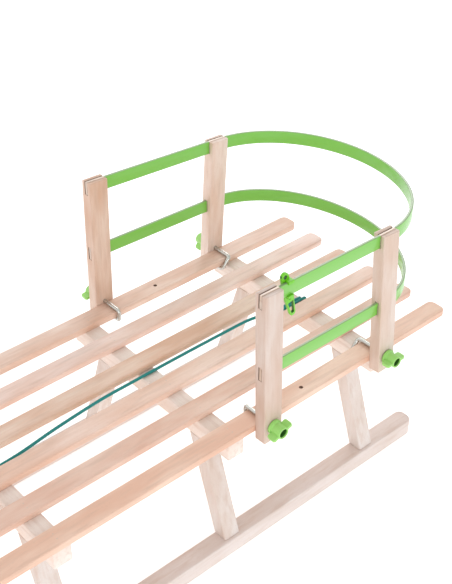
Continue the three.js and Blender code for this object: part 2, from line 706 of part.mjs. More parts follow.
function cordSolid() {
  const rearKnotY = archBack - BEAM_DEPTH - KNOT_SETBACK;
  const frontKnotY = barFront + BEAM_DEPTH + KNOT_SETBACK;
  const route = CORD_SWAYS.map((x, i) => (
    new THREE.Vector3(x, rearKnotY + (frontKnotY - rearKnotY) * CORD_SWAY_SHARES[i], cordZ)
  ));
  const run = new THREE.CatmullRomCurve3(route, false, "centripetal");
  const steps = Math.round(run.getLength() / CORD_STEP);
  const first = route[0];
  const last = route[route.length - 1];
  const rearLoop = loopPoints(first.x, first.y, archBack - BEAM_DEPTH, archBack);
  const frontLoop = loopPoints(last.x, last.y, barFront + BEAM_DEPTH, barFront);
  const points = [...rearLoop.reverse(), ...run.getSpacedPoints(steps), ...frontLoop];
  return roundBar(points, cordRadius, CORD_SIDES)
    .add(knotSolid(first.x, first.y))
    .add(knotSolid(last.x, last.y))
    .add(tailSolid(first.x, first.y, archBack - TAIL_OVERHANG));
}
add("tow_cord", cordSolid(), tealCord);

export default sledge;
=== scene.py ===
# %% [markdown]
# # A beech sledge with a child's backrest
# A look-dev lesson. The solid model of the sledge is loaded as a fixed frame, and each step dresses one
# group of its pieces. Lengths are in metres in that model's frame: +Z is up and -Y is the upturned front.
# The solids could be shown as they are, but their edges are sharp and their curves have facets, so most
# pieces are drawn again in the same place with broken edges and rounder bends.

# %% Load the fixed frame
import math

import bmesh
import bpy
from mathutils import Matrix, Vector, noise


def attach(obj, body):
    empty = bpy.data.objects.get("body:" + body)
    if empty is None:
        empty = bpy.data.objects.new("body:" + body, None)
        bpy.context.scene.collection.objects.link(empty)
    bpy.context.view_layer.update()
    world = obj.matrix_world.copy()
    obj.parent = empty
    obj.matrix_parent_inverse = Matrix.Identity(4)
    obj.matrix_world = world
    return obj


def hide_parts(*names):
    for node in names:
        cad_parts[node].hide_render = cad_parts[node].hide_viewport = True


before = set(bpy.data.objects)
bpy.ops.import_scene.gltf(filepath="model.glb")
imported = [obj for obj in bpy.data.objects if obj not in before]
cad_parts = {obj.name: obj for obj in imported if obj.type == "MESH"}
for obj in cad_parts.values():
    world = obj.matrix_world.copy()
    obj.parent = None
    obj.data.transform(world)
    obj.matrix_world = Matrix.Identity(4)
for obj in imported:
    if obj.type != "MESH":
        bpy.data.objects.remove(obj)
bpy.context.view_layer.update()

MM = 0.001
print("solids in the frame:", len(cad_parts))

# %% [markdown]
# ## The camera
# The photograph looks down on the sledge from its right side, a little to the front. A camera could be
# moved by hand until the picture looks alike, but then some edges fit and others drift. This one's place,
# axes and focal length were fitted to the straight edges of the slats, posts and runner all at once.

# %% Place the camera
CAMERA_PLACE = (0.93555, -0.61422, 1.19567)
CAMERA_RIGHT = (0.6633, 0.7484, 0.0044)
CAMERA_UP = (-0.4397, 0.3850, 0.8114)
SENSOR_WIDTH = 36.0
FOCAL_PIXELS = 1116.155
PICTURE_HEIGHT = 584

camera_data = bpy.data.cameras.new("photo_camera")
camera_data.sensor_width = SENSOR_WIDTH
camera_data.lens = FOCAL_PIXELS * SENSOR_WIDTH / PICTURE_HEIGHT
camera = bpy.data.objects.new("photo_camera", camera_data)
right = Vector(CAMERA_RIGHT).normalized()
up = Vector(CAMERA_UP).normalized()
back = right.cross(up)
camera.matrix_world = Matrix.Translation(CAMERA_PLACE) @ Matrix((right, up, back)).transposed().to_4x4()
bpy.context.scene.collection.objects.link(camera)
bpy.context.scene.camera = camera
print("lens in millimetres:", round(camera_data.lens, 2))

# %% [markdown]
# ## From a mesh to a piece
# On the real sledge every part is a body of its own, and the backrest, its wing nuts and the clip move.
# Pieces could be parented and moved by hand, but then a joint's motion would have to be copied. Here each
# piece is one mesh at the origin that rides on a body of the frame, and it hides the solid it stands for.

# %% Turn meshes into pieces of the sledge
SHARP_ANGLE = math.radians(38)


def mesh_from(bm, name):
    """Finish a bmesh: normals outwards, smooth shading, and real corners kept sharp."""
    bmesh.ops.recalc_face_normals(bm, faces=bm.faces)
    mesh = bpy.data.meshes.new(name)
    bm.to_mesh(mesh)
    bm.free()
    mesh.shade_smooth()
    mesh.set_sharp_from_angle(angle=SHARP_ANGLE)
    return mesh


def piece(name, mesh, material, body, nodes=()):
    """Put a finished mesh in the scene, on its body and in place of its plain solids."""
    mesh.materials.append(material)
    obj = bpy.data.objects.new(name, mesh)
    bpy.context.scene.collection.objects.link(obj)
    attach(obj, body)
    if nodes:
        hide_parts(*nodes)
    return obj


def dress(node, material):
    """Give a plain solid a finish and leave its shape alone."""
    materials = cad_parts[node].data.materials
    materials.clear()
    materials.append(material)


# %% [markdown]
# ## Bars that follow a path
# The cord, the hook bolts, the bands and the runners are all one section led along a line. Curve objects
# could do that, but a mesh that is built ring by ring keeps its exact thickness in the bends, and it can
# carry a UV map or a number that a material reads.


# %% Sweep a section along a path
def directions(points):
    """The direction of a path at each of its points."""
    ends = [points[0]] + points + [points[-1]]
    return [(ends[i + 2] - ends[i]).normalized() for i in range(len(points))]


def skin(bm, layers):
    """Join each ring of vertices to the next one."""
    for low, high in zip(layers, layers[1:]):
        for i in range(len(low)):
            j = (i + 1) % len(low)
            bm.faces.new((low[i], low[j], high[j], high[i]))


def sweep(name, rings):
    """Skin a list of rings, each a list of points, and cap both ends."""
    bm = bmesh.new()
    layers = [[bm.verts.new(p) for p in ring] for ring in rings]
    skin(bm, layers)
    bm.faces.new(layers[0][::-1])
    bm.faces.new(layers[-1])
    return mesh_from(bm, name)


def tube_rings(points, radii, sides):
    """Round rings along a path, with a radius for each of its points."""
    tangents = directions(points)
    angles = [2 * math.pi * k / sides for k in range(sides)]
    normal = tangents[0].orthogonal().normalized()
    rings = []
    for point, tangent, radius in zip(points, tangents, radii):
        normal = (normal - tangent * normal.dot(tangent)).normalized()
        side = tangent.cross(normal)
        rings.append([point + radius * (normal * math.cos(a) + side * math.sin(a)) for a in angles])
    return rings


def smooth_path(points, step):
    """Points about a step apart on a smooth curve through a list of points."""
    ends = [2 * points[0] - points[1]] + points + [2 * points[-1] - points[-2]]
    path = []
    for i in range(1, len(ends) - 2):
        a, b, c, d = ends[i - 1:i + 3]
        count = max(1, round((c - b).length / step))
        for k in range(count):
            t = k / count
            path.append(0.5 * (
                2 * b + (c - a) * t + (2 * a - 5 * b + 4 * c - d) * t * t
                + (3 * b - a - 3 * c + d) * t * t * t
            ))
    path.append(points[-1])
    return path


# %% [markdown]
# ## Materials
# The real sledge is pale beech, green lacquer, glossy plastic, zinc and a braided cord. Pictures could be
# wrapped round the pieces, but they bring seams and a light of their own. So every look here is worked
# out in the shader: it reads object coordinates, which are the sledge's own metres, a UV map in metres,
# or a number that the mesh carries.


# %% Node helpers
def linear(hex_colour):
    """An sRGB hex colour as linear values with full alpha."""
    channels = [int(hex_colour[i:i + 2], 16) / 255 for i in (0, 2, 4)]
    return tuple(c / 12.92 if c <= 0.04045 else ((c + 0.055) / 1.055) ** 2.4 for c in channels) + (1.0,)


def add_node(tree, kind, settings=None, inputs=None):
    """Add a node, set its properties, and fill its sockets with values or links."""
    node = tree.nodes.new(kind)
    for key, value in (settings or {}).items():
        setattr(node, key, value)
    for key, value in (inputs or {}).items():
        socket = node.inputs[key]
        if isinstance(value, bpy.types.NodeSocket):
            tree.links.new(value, socket)
        else:
            socket.default_value = value
    return node


def new_material(name, settings):
    """A material with one Principled shader, whose fixed values are set on its own sockets."""
    material = bpy.data.materials.new(name)
    material.use_nodes = True
    tree = material.node_tree
    tree.nodes.clear()
    shader = add_node(tree, "ShaderNodeBsdfPrincipled", inputs=settings)
    add_node(tree, "ShaderNodeOutputMaterial", inputs={"Surface": shader.outputs["BSDF"]})
    return material, tree, shader


# %% Patterns that materials share
SEED_SHARES = (1, 0.37, 0.71)
MIX_FACTOR = 0
MIX_FIRST = 6
MIX_SECOND = 7
MIX_RESULT = 2


def stretched(tree, along, patch, seed):
    """Object coordinates in patches: one unit is a patch's length along one axis and its width across it."""
    length, width = patch
    where = add_node(tree, "ShaderNodeTexCoord").outputs["Object"]
    scale = [1 / length if axis == along else 1 / width for axis in "XYZ"]
    return add_node(tree, "ShaderNodeMapping", inputs={
        "Vector": where, "Scale": scale, "Location": [seed * share for share in SEED_SHARES],
    }).outputs["Vector"]


def cloud(tree, vector, detail, roughness=0.5):
    """Soft noise from 0 to 1 whose patches are about one unit wide."""
    return add_node(tree, "ShaderNodeTexNoise", inputs={
        "Vector": vector, "Scale": 1.0, "Detail": detail, "Roughness": roughness,
    }).outputs["Fac"]


def mapped(tree, value, low, high, to_low=0.0, to_high=1.0):
    """A value stretched from one range to another, and held at its ends."""
    return add_node(tree, "ShaderNodeMapRange", inputs={
        "Value": value, "From Min": low, "From Max": high, "To Min": to_low, "To Max": to_high,
    }).outputs["Result"]


def mixed(tree, factor, first, second):
    """A blend of two colours; the Mix node's colour sockets are reached by their numbers."""
    inputs = {MIX_FACTOR: factor, MIX_FIRST: first, MIX_SECOND: second}
    return add_node(tree, "ShaderNodeMix", {"data_type": "RGBA"}, inputs).outputs[MIX_RESULT]


def marked(tree, name):
    """A number that the mesh carries on its faces or points, or 0 where it carries none."""
    return add_node(tree, "ShaderNodeAttribute", {"attribute_name": name}).outputs["Fac"]


def raised(tree, shader, height, strength, distance):
    """Let a pattern's height catch the light."""
    bump = add_node(tree, "ShaderNodeBump", inputs={
        "Height": height, "Strength": strength, "Distance": distance,
    })
    tree.links.new(bump.outputs["Normal"], shader.inputs["Normal"])


# %% [markdown]
# ## The tow cord
# A braided cord is tied round the rear crossbeam, runs taut along the middle gap of the seat over the
# crossbeams, and is tied round the front bar. It could be simulated, but a taut cord hardly moves, so its
# slight sway is a short list of points taken from the photograph. Its strands are drawn by two waves that
# cross on a UV map. The ties are pieces of their own.

# %% The look of a braided cord
STRAND_ANGLE = 0.62
STRAND_PITCH = 6.2 * MM
STRAND_HEIGHT = 0.4 * MM


def braid(name, colour, shadow):
    """A braided cord: strands cross in two directions on its UV map, which is in metres."""
    material, tree, shader = new_material(name, {"Roughness": 0.75, "Sheen Weight": 0.2})
    where = add_node(tree, "ShaderNodeUVMap", {"uv_map": "braid"}).outputs["UV"]
    heights = []
    for angle in (STRAND_ANGLE, -STRAND_ANGLE):
        turned = add_node(tree, "ShaderNodeMapping", inputs={"Vector": where, "Rotation": (0, 0, angle)})
        wave = add_node(tree, "ShaderNodeTexWave", {"wave_profile": "SIN"}, {
            "Vector": turned.outputs["Vector"], "Scale": 1 / STRAND_PITCH, "Distortion": 0.0,
        })
        heights.append(wave.outputs["Fac"])
    strands = add_node(tree, "ShaderNodeMath", {"operation": "MAXIMUM"}, {
        0: heights[0], 1: heights[1],
    }).outputs[0]
    shade = mixed(tree, mapped(tree, strands, 0.5, 1.0), linear(shadow), linear(colour))
    tree.links.new(shade, shader.inputs["Base Color"])
    raised(tree, shader, strands, 0.6, STRAND_HEIGHT)
    return material


cord_braid = braid("cord_braid", "129a94", "096866")

# %% Lead the cord along the seat
BEAM_TOP = 211.8 * MM
BEAM_BOTTOM = 183.8 * MM
BEAM_DEPTH = 26 * MM
ARCH_BACK = 370.5 * MM
BAR_BACK = -466 * MM
CORD_RADIUS = 2.2 * MM
CORD_CLEARANCE = 0.3 * MM
CORD_Z = BEAM_TOP + CORD_CLEARANCE + CORD_RADIUS
CORD_SIDES = 12
CORD_STEP = 4 * MM
KNOT_SETBACK = 11.4 * MM
# How many millimetres the cord lies right of the middle, at these shares of its way to the front.
SWAYS = [6.6, 5, -0.5, -5.3, -7.8, -8.4, -9, -9.1, -8.6, -7.6, -1, 8, 10, 9.6, 7, 4, 2.5]
SWAY_SHARES = [
    0, 0.016, 0.039, 0.064, 0.089, 0.123, 0.193, 0.275, 0.346, 0.417,
    0.51, 0.597, 0.675, 0.764, 0.865, 0.954, 1,
]


def braided_tube(name, points, radius):
    """A tube with a UV map in metres: round the cord and along it."""
    mesh = sweep(name, tube_rings(points, [radius] * len(points), CORD_SIDES))
    lengths = [0.0]
    for a, b in zip(points, points[1:]):
        lengths.append(lengths[-1] + (b - a).length)
    layer = mesh.uv_layers.new(name="braid")
    around = 2 * math.pi * CORD_RADIUS
    for face in mesh.polygons:
        columns = [mesh.loops[i].vertex_index % CORD_SIDES for i in face.loop_indices]
        wraps = len(columns) == 4 and max(columns) - min(columns) > 1
        for i, column in zip(face.loop_indices, columns):
            row = mesh.loops[i].vertex_index // CORD_SIDES
            turn = 1 if wraps and column == 0 else column / CORD_SIDES
            layer.data[i].uv = (turn * around, lengths[row])
    return mesh


rear_knot_y = ARCH_BACK - BEAM_DEPTH - KNOT_SETBACK
front_knot_y = BAR_BACK + KNOT_SETBACK
route = [
    Vector((x * MM, rear_knot_y + (front_knot_y - rear_knot_y) * share, CORD_Z))
    for x, share in zip(SWAYS, SWAY_SHARES)
]
cord_path = smooth_path(route, CORD_STEP)
run_mesh = braided_tube("tow_cord_run", cord_path, CORD_RADIUS)
tow_run = piece("tow_cord_run", run_mesh, cord_braid, "sledge", ["tow_cord"])

# %% Tie both ends
LOOP_RADIUS_SHARE = 0.98
LOOP_RADIUS = CORD_RADIUS * LOOP_RADIUS_SHARE
LOOP_STEPS = 4
LOOP_RETURN_DROPS = (12 * MM, 10 * MM, 5 * MM)
TIE_STEP = 2 * MM
KNOT_RADIUS_SHARE = 0.92
KNOT_RADIUS = CORD_RADIUS * KNOT_RADIUS_SHARE
KNOT_STEPS = 96
KNOT_WIDTH_SCALE = 1.55 * MM
KNOT_LENGTH_SCALE = 1.9 * MM
KNOT_WAVE = 2.1 * MM
KNOT_DROP = 2.2 * MM
TAIL_SHIFT_SHARE = 2.1
TAIL_SHIFT = TAIL_SHIFT_SHARE * CORD_RADIUS
# The tail's points: millimetres behind the rear knot and above the cord's line.
TAIL_POINTS = ((-2, -1), (8, 0), (22, 0.3), (34, 0))


def tie_loop(x, knot_y, near_y, far_y):
    """The cord's way from its knot over a crossbar, round it and back up to the knot."""
    away = math.copysign(1, far_y - near_y)
    reach = CORD_Z - BEAM_TOP
    way = [(knot_y, CORD_Z), ((knot_y + near_y) / 2, CORD_Z), (near_y, CORD_Z)]
    for y, z, start in ((far_y, BEAM_TOP, 90), (far_y, BEAM_BOTTOM, 0), (near_y, BEAM_BOTTOM, -90)):
        for i in range(LOOP_STEPS + 1):
            angle = math.radians(start - 90 * i / LOOP_STEPS)
            way.append((y + away * reach * math.cos(angle), z + reach * math.sin(angle)))
    near = near_y - away * reach
    first_drop, second_drop, last_drop = LOOP_RETURN_DROPS
    way += [
        (near, BEAM_TOP - first_drop), ((near + knot_y) / 2, CORD_Z - second_drop),
        (knot_y, CORD_Z - last_drop),
    ]
    return [Vector((x, y, z)) for y, z in way]


def knot_way(x, y):
    """The way of a tight overhand knot: a squeezed trefoil."""
    points = []
    for i in range(KNOT_STEPS + 1):
        t = 2 * math.pi * i / KNOT_STEPS
        points.append(Vector((
            x + KNOT_WIDTH_SCALE * (math.cos(t) - 2 * math.cos(2 * t)),
            y + KNOT_LENGTH_SCALE * (math.sin(t) + 2 * math.sin(2 * t)),
            CORD_Z - KNOT_DROP - KNOT_WAVE * math.sin(3 * t),
        )))
    return points


for place, end, near_y, far_y in (
    ("rear", route[0], ARCH_BACK - BEAM_DEPTH, ARCH_BACK),
    ("front", route[-1], BAR_BACK, BAR_BACK - BEAM_DEPTH),
):
    way_round = smooth_path(tie_loop(end.x, end.y, near_y, far_y), TIE_STEP)
    loop_mesh = braided_tube(f"cord_loop_{place}", way_round, LOOP_RADIUS)
    knot_mesh = braided_tube(f"cord_knot_{place}", knot_way(end.x, end.y), KNOT_RADIUS)
    for mesh in (loop_mesh, knot_mesh):
        piece(mesh.name, mesh, cord_braid, "sledge")
tail_x = route[0].x - TAIL_SHIFT
tail_way = smooth_path([
    Vector((tail_x, rear_knot_y + y * MM, CORD_Z + rise * MM)) for y, rise in TAIL_POINTS
], TIE_STEP)
tail_mesh = braided_tube("cord_tail_rear", tail_way, LOOP_RADIUS)
piece("cord_tail_rear", tail_mesh, cord_braid, "sledge")

# %% [markdown]
# ## Beech
# The sledge's bars are pale beech under clear satin lacquer. Beech has broad soft bands of tone along its
# grain, fine darker lines, and its mark, short brown flecks. One stretched noise alone looks like plastic,
# so four are laid over each other, each long along the grain and narrow across it. Where a mesh says that
# a face lies deep in a slot or hole, shade is painted in and the wood is darker there, as in the photograph.

# %% The look of beech
# Painted shade: the colour that faces deep in slots and holes are darkened towards.
HOLLOW_SHADE = "8f7463"
GRAIN_HEIGHT = 0.15 * MM
# The length and width of the patches in each layer of the wood.
TONE_PATCH = (150 * MM, 38 * MM)
FIGURE_PATCH = (55 * MM, 6 * MM)
GRAIN_PATCH = (70 * MM, 1.5 * MM)
FLECK_PATCH = (5 * MM, 0.7 * MM)


def beech_look(tree, along, seed, light, warm, fleck):
    """The colour of pale beech with its grain along one axis and painted shade where the mesh marks it, and
    the height of that grain.
    """
    tone = cloud(tree, stretched(tree, along, TONE_PATCH, seed), 3.0, 0.6)
    figure = cloud(tree, stretched(tree, along, FIGURE_PATCH, seed + 1.7), 2.0)
    grain = cloud(tree, stretched(tree, along, GRAIN_PATCH, seed + 3.1), 3.0, 0.6)
    dash = cloud(tree, stretched(tree, along, FLECK_PATCH, seed + 7.7), 1.0)
    base = mixed(tree, mapped(tree, tone, 0.36, 0.64), linear(light), linear(warm))
    figured = mixed(tree, mapped(tree, figure, 0.5, 0.72, 0.0, 0.35), base, linear(fleck))
    lined = mixed(tree, mapped(tree, grain, 0.42, 0.75, 0.0, 0.4), figured, linear(warm))
    flecked = mixed(tree, mapped(tree, dash, 0.62, 0.74, 0.0, 0.3), lined, linear(fleck))
    return mixed(tree, marked(tree, "painted_shade"), flecked, linear(HOLLOW_SHADE)), grain


def beech(name, along, seed, light="eaded6", warm="dfcabc", fleck="c4a590"):
    """Pale beech under clear satin lacquer."""
    material, tree, shader = new_material(name, {
        "Roughness": 0.5, "Coat Weight": 0.12, "Coat Roughness": 0.3,
    })
    colour, grain = beech_look(tree, along, seed, light, warm, fleck)
    tree.links.new(colour, shader.inputs["Base Color"])
    raised(tree, shader, grain, 0.12, GRAIN_HEIGHT)
    return material


# %% [markdown]
# ## Slats, crossbeams and legs
# The seat is six slats with round ends, nailed to three arches of a crossbeam and two splayed legs. They
# are sawn bars with edges rounded by a cutter. Such a bar could be modelled again from its sizes, but its
# solid already has the right outline, holes and tenons. So it is copied, and only the edges between its
# outermost corners are bevelled, which leaves the rims of the holes crisp.

# %% Round the edges of a copied solid
WELD_DISTANCE = 2e-5
FLAT_ANGLE = math.radians(1.5)
CORNER_ANGLE = math.radians(40)


def softened(node, width, segments=3, hollow=None):
    """Copy a solid's mesh, round the edges between its outermost corners and mark its hollow faces for
    painted shade.
    """
    bm = bmesh.new()
    bm.from_mesh(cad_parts[node].data)
    bmesh.ops.remove_doubles(bm, verts=bm.verts, dist=WELD_DISTANCE)
    bmesh.ops.dissolve_limit(bm, angle_limit=FLAT_ANGLE, verts=bm.verts, edges=bm.edges)

    def place_of(vert):
        return tuple(round(c, 5) for c in vert.co)

    hull = bmesh.new()
    for vert in bm.verts:
        hull.verts.new(vert.co)
    found = bmesh.ops.convex_hull(hull, input=hull.verts)
    outermost = {place_of(v) for v in found["geom"] if isinstance(v, bmesh.types.BMVert)}
    hull.free()
    edges = [
        e for e in bm.edges
        if place_of(e.verts[0]) in outermost and place_of(e.verts[1]) in outermost
        and len(e.link_faces) == 2 and e.calc_face_angle(0) > CORNER_ANGLE
    ]
    bmesh.ops.bevel(
        bm, geom=edges, offset=width, offset_type="OFFSET", segments=segments,
        profile=0.5, affect="EDGES", clamp_overlap=True, material=-1,
    )
    if hollow:
        painted_shade = bm.faces.layers.float.new("painted_shade")
        bm.normal_update()
        for face in bm.faces:
            face[painted_shade] = float(hollow(face.calc_center_median(), face.normal))
    return mesh_from(bm, node + "_soft")


# %% Slats, crossbeams and legs
SLAT_ROUNDING = 2.2 * MM
BAR_ROUNDING = 2 * MM
LEG_ROUNDING = 1.6 * MM
SPARE_HOLE_SETBACK = 154 * MM
SPARE_HOLE_Y = ARCH_BACK - SPARE_HOLE_SETBACK
SPARE_HOLE_REACH = 3.1 * MM
SLAT_TONES = [
    ("ebd2c2", "dbb29a"), ("f1dacf", "e5bfab"), ("e9cfbc", "d9ad91"),
    ("f1d5c5", "e4bba3"), ("ebcfbd", "ddb19a"), ("f0d0ba", "e2b59b"),
]


# Painted shade: the walls of each outer slat's spare hole are darkened.
def in_spare_hole(middle, normal):
    """Tell the wall of an outer slat's spare hole from its top, its bottom and its long sides."""
    near = abs(middle.y - SPARE_HOLE_Y) < SPARE_HOLE_REACH
    return abs(normal.z) < 0.5 and near and abs(normal.x) < 0.99


for i, (light, warm) in enumerate(SLAT_TONES):
    wood = beech(f"slat_wood_{i + 1}", "Y", 11.3 * i, light, warm)
    node = f"seat_slat_{i + 1}"
    mesh = softened(node, SLAT_ROUNDING, 4, in_spare_hole)
    piece(f"slat_{i + 1}_rounded", mesh, wood, "sledge", [node])

for i, place in enumerate(("rear", "middle", "front")):
    wood = beech(f"beam_wood_{place}", "X", 5.0 + 9.1 * i, "f2e6dd", "e8d5c7")
    node = f"{place}_crossbeam"
    piece(f"{place}_beam_rounded", softened(node, BAR_ROUNDING), wood, "sledge", [node])
    for k, hand in enumerate(("left", "right")):
        seed = 3.0 + 7.7 * i + 2.9 * k
        leg_wood = beech(f"leg_wood_{place}_{hand}", "Z", seed, "e3dad4", "d8c6ba")
        node = f"{place}_leg_{hand}"
        piece(f"{node}_rounded", softened(node, LEG_ROUNDING), leg_wood, "sledge", [node])
bar_wood = beech("bar_wood", "X", 41.0)
piece("front_bar_rounded", softened("front_bar", BAR_ROUNDING), bar_wood, "sledge", ["front_bar"])
print("slats:", len(SLAT_TONES))

# %% [markdown]
# ## Steel
# The hooks and the strips under the runners are zinc plated, and the nuts and screws are duller. Plain
# metal looks like a mirror, so a small cloud makes its gloss uneven, as plating is.

# %% The look of steel
GLOSS_LOW = 0.3
GLOSS_HIGH = 0.7
STEEL_PATCH = (2 * MM, 2 * MM)


def uneven_gloss(tree, shader, patch, seed, detail, roughness, spread):
    """Let the roughness wander round its value from patch to patch."""
    wander = cloud(tree, stretched(tree, "Z", patch, seed), detail)
    gloss = mapped(tree, wander, GLOSS_LOW, GLOSS_HIGH, roughness - spread, roughness + spread)
    tree.links.new(gloss, shader.inputs["Roughness"])


def metal(name, colour, roughness):
    """Plated or plain steel, slightly cloudy."""
    material, tree, shader = new_material(name, {"Metallic": 1.0, "Base Color": linear(colour)})
    uneven_gloss(tree, shader, STEEL_PATCH, 5.0, 3.0, roughness, 0.08)
    return material


zinc = metal("zinc_plate", "c2c2bd", 0.28)
dull_steel = metal("dull_steel", "8e8f8d", 0.45)
nail_steel = metal("nail_steel", "d2c4b8", 0.55)

# %% [markdown]
# ## Runners and their steel strips
# A runner is one bar, bent up at the front, with a rear end that is round in plan. Its solid shows the
# bend in short flats, and a bevel would not take them away. So the runner is swept again along the same
# quarter circle with more steps. The strips are thin and lie under it, so they only get their zinc.

# %% Runners and their steel strips
RUNNER_WIDTH = 27.5 * MM
RUNNER_HEIGHT = 28 * MM
RUNNER_MIDDLE_X = 153.75 * MM
RUNNER_BOTTOM = 2.3 * MM
RUNNER_OVERHANG = 87 * MM
RUNNER_REAR = ARCH_BACK + RUNNER_OVERHANG
RUNNER_CORNER = 9 * MM
RUNNER_EDGE = 2 * MM
REAR_STEPS = 7
TIP_GAP = 0.2 * MM
BAR_MIDDLE = BAR_BACK - BEAM_DEPTH / 2
BEND_RADIUS = BEAM_BOTTOM - RUNNER_BOTTOM - RUNNER_HEIGHT / 2
BEND_STEPS = 40
EDGE_STEPS = 3


def rounded_section(width, height, radius):
    """The outline of a bar with rounded edges, as offsets across and up."""
    points = []
    for quarter, (sx, sy) in enumerate([(1, 1), (-1, 1), (-1, -1), (1, -1)]):
        cx = sx * (width / 2 - radius)
        cy = sy * (height / 2 - radius)
        for i in range(EDGE_STEPS + 1):
            angle = math.pi / 2 * (quarter + i / EDGE_STEPS)
            points.append((cx + radius * math.cos(angle), cy + radius * math.sin(angle)))
    return points


def runner_mesh(name, x):
    """A runner whose rear end is rounded in plan and whose front is bent up a quarter circle."""
    middle = Vector((0, BAR_MIDDLE + BEND_RADIUS, BEAM_BOTTOM))
    rings = []
    for i in range(REAR_STEPS + 1):
        angle = math.pi / 2 * i / REAR_STEPS
        width = RUNNER_WIDTH - 2 * RUNNER_CORNER * (1 - math.sin(angle))
        y = RUNNER_REAR - RUNNER_CORNER * (1 - math.cos(angle))
        section = rounded_section(width, RUNNER_HEIGHT, RUNNER_EDGE)
        rings.append([Vector((x + a, y, middle.z - BEND_RADIUS + b)) for a, b in section])
    section = rounded_section(RUNNER_WIDTH, RUNNER_HEIGHT, RUNNER_EDGE)
    quarter = math.pi / 2 - TIP_GAP / BEND_RADIUS
    for i in range(BEND_STEPS + 1):
        angle = quarter * i / BEND_STEPS
        inwards = Vector((0, math.sin(angle), math.cos(angle)))
        point = middle - BEND_RADIUS * inwards
        rings.append([point + Vector((x + a, 0, 0)) + inwards * b for a, b in section])
    return sweep(name, rings)


for hand, side in (("left", -1), ("right", 1)):
    wood = beech(f"runner_wood_{hand}", "Y", 60.0 + 9 * side, "e3d7d1", "d8c7bd")
    name = f"runner_{hand}_bent"
    piece(name, runner_mesh(name, side * RUNNER_MIDDLE_X), wood, "sledge", [f"runner_{hand}"])
    dress(f"runner_strip_{hand}", zinc)
print("radius of the runners' bend in metres:", round(BEND_RADIUS, 4))

# %% [markdown]
# ## Nails and screws
# Two small nails hold each slat on each crossbar, and their flat heads barely show. They could be dots of
# colour, but real heads catch the light, so they are short cylinders in one mesh, each a little off its
# line as by hand. The screws and nuts keep their solids and get the duller steel.

# %% Nails and screws
SEAT_TOP = 222.3 * MM
SLAT_PITCH = 62.3 * MM
ARCH_PITCH = 268 * MM
NAIL_RADIUS = 0.8 * MM
NAIL_TOP_SHARE = 0.9
NAIL_DEPTH = 2 * MM
NAIL_PROUD = 0.1 * MM
NAIL_OFFSET = 4.5 * MM
NAIL_STRAY = 1.5 * MM
STRAY_SCALE = 40
NAIL_SIDES = 12


def nail_heads():
    """Two flat heads for each slat on each crossbar, side by side across the slat."""
    bm = bmesh.new()
    rows = [ARCH_BACK - BEAM_DEPTH / 2 - ARCH_PITCH * i for i in range(3)] + [BAR_MIDDLE]
    for row in rows:
        for i in range(len(SLAT_TONES)):
            x = (i - (len(SLAT_TONES) - 1) / 2) * SLAT_PITCH
            for offset in (-NAIL_OFFSET, NAIL_OFFSET):
                stray = noise.noise(Vector((x + offset, row, 0)) * STRAY_SCALE) * NAIL_STRAY
                place = Matrix.Translation((x + offset, row + stray, SEAT_TOP + NAIL_PROUD - NAIL_DEPTH / 2))
                bmesh.ops.create_cone(
                    bm, cap_ends=True, segments=NAIL_SIDES, radius1=NAIL_RADIUS,
                    radius2=NAIL_RADIUS * NAIL_TOP_SHARE, depth=NAIL_DEPTH, matrix=place,
                )
    return mesh_from(bm, "slat_nail_heads")


piece("slat_nail_heads", nail_heads(), nail_steel, "sledge")
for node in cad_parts:
    if "screw" in node or node.startswith("steel_nut"):
        dress(node, dull_steel)

# %% [markdown]
# ## The backrest's posts
# Four posts stand outside the outer slats, lean in a little, and have two slots each for the bands. Their
# edges are only broken, not rounded. The posts are copies of their solids like the slats, with a smaller
# bevel, and the faces inside the slots are marked, so that shade is painted there and the wood is darker.

# %% Posts
POST_THICKNESS = 18 * MM
POST_DEPTH = 30 * MM
POST_ROUNDING = 1.0 * MM
POST_GAP = 0.3 * MM
SLOT_SIDE = 3 * MM
SEAT_EDGE = 170.5 * MM
FRONT_LEAN = 0.028
REAR_LEAN = 0.065
FRONT_POST_SETBACK = 251.5 * MM
REAR_POST_SETBACK = 36.5 * MM
FRONT_POST_Y = ARCH_BACK - FRONT_POST_SETBACK
REAR_POST_Y = ARCH_BACK - REAR_POST_SETBACK
POST_TONES = {
    "front_left": ("e3c9b7", "d1a78b"), "front_right": ("dac9be", "cfb2a0"),
    "rear_left": ("efdfd4", "e1c2af"), "rear_right": ("dfcdc1", "d5baa7"),
}


# Painted shade: the walls inside each post's slots are darkened.
def slot_test(lean):
    """A test that tells the walls of a leaning post's slots from the post's own sides."""
    def in_slot(middle, normal):
        across = abs(middle.x) - SEAT_EDGE - POST_GAP + lean * (middle.z - SEAT_TOP)
        return abs(normal.x) > 0.9 and SLOT_SIDE < across < POST_THICKNESS - SLOT_SIDE

    return in_slot


for i, (place, (light, warm)) in enumerate(POST_TONES.items()):
    wood = beech(f"post_wood_{place}", "Z", 90.0 + 4.3 * i, light, warm)
    node = f"backrest_post_{place}"
    lean = FRONT_LEAN if place.startswith("front") else REAR_LEAN
    mesh = softened(node, POST_ROUNDING, 2, slot_test(lean))
    piece(f"post_{place}_rounded", mesh, wood, "backrest", [node])
print("posts:", len(POST_TONES))

# %% [markdown]
# ## The green bands
# Each band is one thin strip of wood, bent round behind the seat, in glossy green lacquer that is greyer on
# its edges and missing where it sits in the posts; its two end faces get painted shade. It could be a torus
# cut in half, but its arms run straight from post to post and slope down to the rear. So a flat section is
# swept along two straight arms and half an ellipse, and each point carries how near the strip's edge it
# lies.

# %% Bands
BAND_HEIGHT = 20 * MM
BAND_THICKNESS = 4 * MM
BAND_ROUNDING = 0.9 * MM
BAND_STEPS = 96
ARM_STEPS = 12
BAND_SETBACK = 0.5 * MM
# Painted shade: how far the band's two end faces are darkened.
BAND_END_SHADE = 0.3
# Each band's height over the seat, its reach behind the rear arch and its slope.
BANDS = {"upper": (196.8 * MM, 126.7 * MM, 0.048), "lower": (88.6 * MM, 113.4 * MM, 0.0235)}


